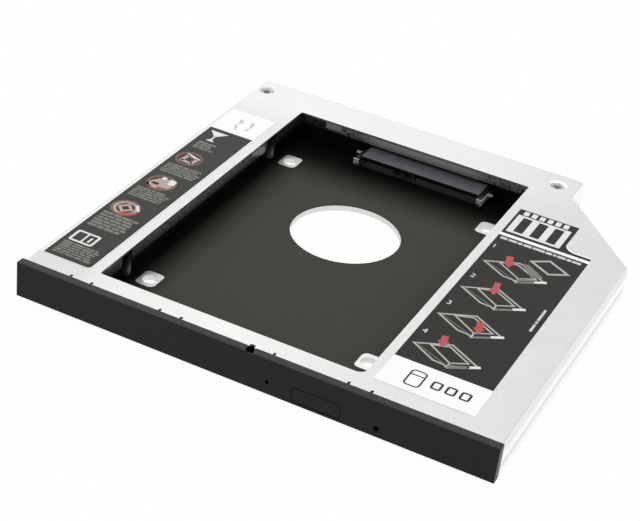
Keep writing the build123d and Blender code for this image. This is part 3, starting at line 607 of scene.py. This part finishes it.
# The middle sign: a beige patch with smaller ones in white, dark and rose.
field(shape, [(2.2, 44.4), (4.6, 43.5), (8.6, 43.6), (9.4, 46.4), (7.6, 49.6), (4.9, 49.4), (3.4, 47.2)],
      BEIGE, 2, 0.5)
field(shape, [(7.6, 46.9), (9.4, 47.2), (9.2, 49.6), (7.2, 49.9)], WHITE, 3, 0.4)
field(shape, [(4.8, 48.6), (6.2, 48.9), (6.0, 50.1), (4.7, 49.9)], WHITE, 3, 0.3)
field(shape, [(3.7, 45.2), (5.6, 45.2), (5.6, 46.4), (3.7, 46.4)], DARK, 3)
field(shape, [(5.9, 43.4), (9.2, 43.6), (9.0, 44.9), (6.2, 44.7)], ROSE, 3)
fine_print(shape, 1.6, 12.0, 36.4, 42.2, small_row, GREY)

# The front sign: a beige ring and diamond, with a dark diamond inside.
outline(shape, disc(5.3, 30.0, 3.3), 0.8, BEIGE, 3)
field(shape, [(5.3, 27.6), (7.7, 30.0), (5.3, 32.4), (2.9, 30.0)], BEIGE, 4)
field(shape, [(5.3, 28.8), (6.5, 30.0), (5.3, 31.2), (4.1, 30.0)], DARK, 5)
line(shape, (7.2, 32.8), (9.0, 30.2), 0.7, WHITE, 6)
field(shape, [(5.2, 26.1), (7.6, 26.7), (9.3, 28.9), (8.7, 29.6), (6.9, 27.9), (4.9, 27.0)], RED, 6)
fine_print(shape, 1.6, 12.4, 16.6, 26.0, 1.45, GREY)

# The square sign, with the last print in front of it.
outline(shape, [(1.7, 8.6), (8.6, 8.6), (8.6, 14.0), (1.7, 14.0)], 0.7, WHITE, rounding=0.7)
line(shape, (5.2, 8.9), (5.2, 13.7), 0.5, WHITE, 3)
line(shape, (6.8, 9.9), (6.8, 12.3), 0.6, WHITE, 3)
fine_print(shape, 1.6, 13.2, 1.6, 8.0, 1.05, GREY)

# Four faint marks on the white rear end.
for points in (
    [(5.0, 92.2), (6.1, 92.2), (6.7, 90.0), (5.6, 89.8)],
    [(5.1, 88.6), (5.8, 88.8), (7.0, 86.0), (6.4, 85.8)],
    [(8.7, 92.5), (9.7, 92.3), (10.3, 89.2), (9.6, 88.8)],
    [(9.2, 88.2), (10.2, 88.4), (9.9, 87.0), (9.2, 86.8)],
):
    field(shape, points, PALE)
stick("left_label_print", shape, "left_label")


# Guide label: the same vinyl, larger, stuck on the right rail. Four numbered steps show
# the drive going into its tray, with red arrows. The front end stays white, with a
# drum sign.
def numeral(shape, digit, x, y, height, ink, rise=2):
    """A plain printed figure, as flat ink."""
    figure_share = 0.7
    glyph = bpy.data.curves.new("figure", "FONT")
    glyph.body = digit
    glyph.size = height / figure_share
    figure = bpy.data.objects.new("figure", glyph)
    bpy.context.scene.collection.objects.link(figure)
    flat = bpy.data.meshes.new_from_object(figure.evaluated_get(bpy.context.evaluated_depsgraph_get()))
    bpy.data.objects.remove(figure)
    flat.transform(Matrix.Translation((x, y, rise * ink_film)))
    before = len(shape.faces)
    shape.from_mesh(flat)
    shape.faces.ensure_lookup_table()
    for face in shape.faces[before:]:
        face.material_index = ink


def arrow(shape, start, end, width):
    """A red block arrow."""
    start, end = Vector(start), Vector(end)
    way = (end - start).normalized()
    neck = end - way * width
    shaft_share, barb_share = 0.65, 1.25
    shaft = way.orthogonal() * shaft_share * width / 2
    barb = way.orthogonal() * barb_share * width / 2
    field(shape, [start + shaft, neck + shaft, neck + barb, end, neck - barb, neck - shaft, start - shaft],
          RED, 5)


def tray(shape, y):
    """The caddy in outline, seen from a corner. Its left corner stands at this height."""
    rim_stroke, floor_stroke, crease_stroke, wall_stroke, glint_stroke = 0.55, 0.5, 0.25, 0.7, 0.9
    rim = [(1.3, y), (8.5, y - 4.3), (11.4, y - 4.5), (12.6, y - 5.3), (19.6, y - 0.8), (10.2, y + 4.7)]
    outline(shape, rim, rim_stroke, SILVER)
    floor = [(5.0, y + 1.6), (12.4, y - 3.2), (16.8, y - 0.5), (10.0, y + 3.6)]
    outline(shape, floor, floor_stroke, SILVER, 3)
    line(shape, (2.4, y + 0.2), (11.6, y - 4.0), crease_stroke, GREY)
    line(shape, (12.5, y - 5.1), (12.4, y - 3.0), rim_stroke, SILVER, 3)
    line(shape, (12.8, y - 4.7), (16.8, y - 2.1), wall_stroke, GREY, 3)
    line(shape, (16.5, y - 2.1), (19.3, y - 0.3), glint_stroke, WHITE, 4)


# The steps have one dark field. The one behind them narrows at a rounded inner corner,
# and carries a white panel with three plain bars and a row of small blocks.
shape = bmesh.new()
cut_x, cut_y = 17.2, 81.15
cut_rounding = 3.5
field(shape, [(0.05, 11.5), (25.25, 11.5), (25.25, 78.55), (0.05, 78.55)], DARK)
rear_field = field(shape, [(0.05, 79.95), (25.25, 79.95), (25.25, cut_y), (cut_x, cut_y),
                           (cut_x, 94.75), (0.05, 94.75)], DARK)
corner = [v for v in rear_field.verts if (v.co.xy - Vector((cut_x, cut_y))).length < 0.01]
bmesh.ops.bevel(shape, geom=corner, offset=cut_rounding, offset_type="OFFSET", segments=10, profile=0.5,
                affect="VERTICES", material=-1)
field(shape, [(0.8, 81.2), (16.1, 81.2), (16.1, 91.5), (0.8, 91.5)], WHITE, 2, 0.3)
bar_left, bar_pitch, bar_width = 2.6, 4.6, 2.6
bar_front, bar_rear = 82.2, 90.6
for i in range(3):
    x = bar_left + i * bar_pitch
    field(shape, [(x, bar_front), (x + bar_width, bar_front), (x + bar_width, bar_rear), (x, bar_rear)],
          DARK, 3)
block_middle, block_pitch, block_width = 2.5, 2.3, 1.5
for i in range(6):
    x = block_middle + i * block_pitch
    line(shape, (x, 92.0), (x, 94.2), block_width, WHITE)
fine_print(shape, 1.0, 25.2, 76.2, 78.0, 1.6, PALE)

# Each step has its figure, the tray and an arrow. The drive is over the first tray.
figure_height = 1.9
for digit, x, y, left_corner in (
    ("1", 0.6, 71.2, 63.5),
    ("2", 1.5, 54.2, 48.4),
    ("3", 1.4, 39.0, 33.75),
    ("4", 1.4, 24.0, 18.7),
):
    numeral(shape, digit, x, y, figure_height, WHITE)
    tray(shape, left_corner)
outline(shape, [(11.6, 70.6), (16.4, 74.1), (23.3, 70.2), (18.3, 66.8)], 0.75, SILVER)
field(shape, [(10.3, 68.0), (12.4, 68.6), (17.9, 64.6), (15.3, 62.8)], GREY, 4)
arrow(shape, (6.8, 69.5), (8.4, 63.9), 2.9)
arrow(shape, (9.0, 55.6), (9.8, 49.5), 2.6)
arrow(shape, (12.0, 36.2), (13.3, 31.0), 2.6)
arrow(shape, (7.2, 25.7), (8.2, 20.7), 2.7)
for y in (61.3, 15.5):
    field(shape, [(12.4, y - 2.0), (17.0, y + 0.8), (17.0, y + 1.8), (12.4, y - 0.6)], GREY, 4)

# A line of print runs up the side, and the drum sign and three squares are in front.
for y0, y1 in ((39.8, 43.4), (43.8, 45.0), (45.4, 51.0)):
    line(shape, (23.6, y0), (23.6, y1), 0.7, PALE)
outline(shape, [(6.1, 2.15), (10.3, 2.15), (10.3, 8.85), (6.1, 8.85)], 0.45, CHARCOAL, 1, 1.1)
line(shape, (6.4, 6.8), (10.0, 6.8), 0.4, CHARCOAL, 2)
square_left, square_pitch, square_width = 12.2, 3.6, 2.7
square_front, square_rear = 4.0, 7.3
for i in range(3):
    x = square_left + i * square_pitch
    outline(shape, [(x, square_front), (x + square_width, square_front), (x + square_width, square_rear),
                    (x, square_rear)], 0.6, CHARCOAL, 1, 0.7)
stick("guide_label_print", shape, "guide_label")


# Drive socket: one injection-moulded housing of liquid crystal polymer, smooth and
# nearly black, soldered to the board. Its top face catches the photo's light as a cool
# mid grey. The unseen laptop plug is given the same finish.
flow_size = 2.38 * MM
socket_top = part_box("drive_socket")[1].z
top_start, top_full = socket_top - 0.25 * MM, socket_top - 0.05 * MM
lip_middle, lip_half = 3.0 * MM, 0.8 * MM
socket_lcp, tree, shader = finish("moulded_LCP_smooth", {
    "Roughness": 0.38, "IOR": 1.6, "Specular IOR Level": 0.3})
space = node(tree, "ShaderNodeTexCoord").outputs["Object"]
height = node(tree, "ShaderNodeSeparateXYZ", {0: space}).outputs["Z"]
flow = node(tree, "ShaderNodeTexNoise", {"Vector": space, "Scale": 1 / flow_size, "Detail": 2.0})
tone = node(tree, "ShaderNodeMix", {0: flow.outputs[0], 6: linear("070708"), 7: linear("0E0E10")},
            data_type="RGBA")
upper = node(tree, "ShaderNodeMapRange", {"Value": height, "From Min": top_start, "From Max": top_full})
sheen = node(tree, "ShaderNodeMix", {0: flow.outputs[0], 6: linear("48484D"), 7: linear("5F5F64")},
             data_type="RGBA")
tone = node(tree, "ShaderNodeMix", {0: upper.outputs[0], 6: tone.outputs[2], 7: sheen.outputs[2]},
            data_type="RGBA")
# The lower lip catches less of it.
under = node(tree, "ShaderNodeMath", {0: height, 1: lip_middle, 2: lip_half}, operation="COMPARE")
tone = node(tree, "ShaderNodeMix", {0: under.outputs[0], 6: tone.outputs[2], 7: linear("303034")},
            data_type="RGBA")
tree.links.new(tone.outputs[2], shader.inputs["Base Color"])
bump = node(tree, "ShaderNodeBump", {"Height": flow.outputs[0], "Strength": 0.15, "Distance": 0.05 * MM})
tree.links.new(bump.outputs[0], shader.inputs["Normal"])
coat(["drive_socket", "laptop_plug"], socket_lcp)


# Contacts of both connectors: stamped phosphor bronze with a thin gold flash, pressed
# into the housing. Deep in the slots they lie in shade, so their gold is painted dull
# and dark, as painted shade.
wear_size = 0.417 * MM
gold, tree, shader = finish("gold_flash_satin", {"Metallic": 1.0, "Roughness": 0.4})
space = node(tree, "ShaderNodeTexCoord").outputs["Object"]
wear = node(tree, "ShaderNodeTexNoise", {"Vector": space, "Scale": 1 / wear_size, "Detail": 2.0})
tone = node(tree, "ShaderNodeMix", {0: wear.outputs[0], 6: linear("6E6858"), 7: linear("9A9078")},
            data_type="RGBA")
tree.links.new(tone.outputs[2], shader.inputs["Base Color"])
rough = node(tree, "ShaderNodeMapRange", {"Value": wear.outputs[0], "To Min": 0.3, "To Max": 0.5})
tree.links.new(rough.outputs[0], shader.inputs["Roughness"])
coat(["drive_socket_contacts", "laptop_plug_contacts"], gold)


# Socket brackets: tinned brass sheet, folded round each end arm and soldered to the
# board. Tin leaves a soft grey gloss with faint crystals.
crystal_size = 0.714 * MM
tin, tree, shader = finish("tinned_brass_soft_gloss", {"Metallic": 1.0, "Roughness": 0.55})
space = node(tree, "ShaderNodeTexCoord").outputs["Object"]
crystal = node(tree, "ShaderNodeTexVoronoi", {"Vector": space, "Scale": 1 / crystal_size})
tone = node(tree, "ShaderNodeMix", {
    0: crystal.outputs["Distance"], 6: linear("E6E7E9"), 7: linear("C6C8CA")}, data_type="RGBA")
tree.links.new(tone.outputs[2], shader.inputs["Base Color"])
coat(["socket_brackets"], tin)


# Side springs: two leaves of spring steel, blued when hardened, held in pockets of the
# frame's left wall. The skin is dark, with a painted highlight that makes it brighter
# low down. Its drawn grain is wider than a real one, so that it shows.
drawn_width = 0.333 * MM
drawn_stretch = 0.08
bright_full, bright_end = 3.6 * MM, 6.6 * MM
blued, tree, shader = finish("spring_steel_blued", {"Metallic": 1.0, "Roughness": 0.45})
space = node(tree, "ShaderNodeTexCoord").outputs["Object"]
height = node(tree, "ShaderNodeSeparateXYZ", {0: space}).outputs["Z"]
along = node(tree, "ShaderNodeMapping", {"Vector": space, "Scale": (1.0, 1.0, drawn_stretch)})
drawn = node(tree, "ShaderNodeTexNoise", {
    "Vector": along.outputs[0], "Scale": 1 / drawn_width, "Detail": 2.0})
tone = node(tree, "ShaderNodeMix", {0: drawn.outputs[0], 6: linear("5A5A5A"), 7: linear("868686")},
            data_type="RGBA")
# Painted highlight low down. Above it the blued skin is dark.
upper = node(tree, "ShaderNodeMapRange", {"Value": height, "From Min": bright_full, "From Max": bright_end})
tone = node(tree, "ShaderNodeMix", {0: upper.outputs[0], 6: tone.outputs[2], 7: linear("282828")},
            data_type="RGBA")
tree.links.new(tone.outputs[2], shader.inputs["Base Color"])
bump = node(tree, "ShaderNodeBump", {"Height": drawn.outputs[0], "Strength": 0.2, "Distance": 0.03 * MM})
tree.links.new(bump.outputs[0], shader.inputs["Normal"])
coat(["side_springs"], blued)


# Screws: small steel machine screws that hold the base plate and the circuit board to
# the frame. They aren't seen in the photo, and their black zinc finish is a guess.
cloud_size = 0.769 * MM
zinc, tree, shader = finish("steel_black_zinc_satin", {"Metallic": 1.0, "Roughness": 0.4})
space = node(tree, "ShaderNodeTexCoord").outputs["Object"]
cloud = node(tree, "ShaderNodeTexNoise", {"Vector": space, "Scale": 1 / cloud_size, "Detail": 3.0})
tone = node(tree, "ShaderNodeMix", {0: cloud.outputs[0], 6: linear("3A3A3C"), 7: linear("6E6E70")},
            data_type="RGBA")
tree.links.new(tone.outputs[2], shader.inputs["Base Color"])
rough = node(tree, "ShaderNodeMapRange", {"Value": cloud.outputs[0], "To Min": 0.32, "To Max": 0.5})
tree.links.new(rough.outputs[0], shader.inputs["Roughness"])
coat(["base_screws", "board_screws"], zinc)


# Circuit board: glass-epoxy laminate under green solder mask, which lets the weave
# show as a faint grid. It carries both connectors and is screwed to the frame. It and
# the parts on it aren't seen in the photo, so their finishes are guesses.
thread_spacing = 0.625 * MM
fog_size = 3.33 * MM
mask, tree, shader = finish("solder_mask_gloss_green", {"Roughness": 0.28, "IOR": 1.5})
space = node(tree, "ShaderNodeTexCoord").outputs["Object"]
weave = node(tree, "ShaderNodeTexChecker", {
    "Vector": space, "Scale": 1 / thread_spacing, "Color1": linear("0E3A22"), "Color2": linear("124428")})
fog = node(tree, "ShaderNodeTexNoise", {"Vector": space, "Scale": 1 / fog_size})
tone = node(tree, "ShaderNodeMix", {0: fog.outputs[0], 6: weave.outputs["Color"], 7: linear("0B3320")},
            data_type="RGBA")
tree.links.new(tone.outputs[2], shader.inputs["Base Color"])
coat(["circuit_board"], mask)


# Capacitors: two ceramic chip capacitors soldered on the board. Fired ceramic gives
# them a matt tan skin with fine specks.
speck_size = 0.278 * MM
ceramic, tree, shader = finish("chip_ceramic_matt_tan", {"Roughness": 0.55, "IOR": 1.6})
space = node(tree, "ShaderNodeTexCoord").outputs["Object"]
speck = node(tree, "ShaderNodeTexNoise", {"Vector": space, "Scale": 1 / speck_size, "Detail": 2.0})
tone = node(tree, "ShaderNodeMix", {0: speck.outputs[0], 6: linear("7A5C3E"), 7: linear("8E6D4B")},
            data_type="RGBA")
tree.links.new(tone.outputs[2], shader.inputs["Base Color"])
coat(["board_capacitors"], ceramic)


# Resistors: four small chip resistors soldered on the board. A black glass coat over
# the element gives them a faint gloss.
chip, tree, shader = finish("chip_glass_coat_black", {"Roughness": 0.35, "IOR": 1.5})
space = node(tree, "ShaderNodeTexCoord").outputs["Object"]
speck = node(tree, "ShaderNodeTexNoise", {"Vector": space, "Scale": 1 / speck_size, "Detail": 2.0})
tone = node(tree, "ShaderNodeMix", {0: speck.outputs[0], 6: linear("141415"), 7: linear("222224")},
            data_type="RGBA")
tree.links.new(tone.outputs[2], shader.inputs["Base Color"])
coat(["board_resistors"], chip)
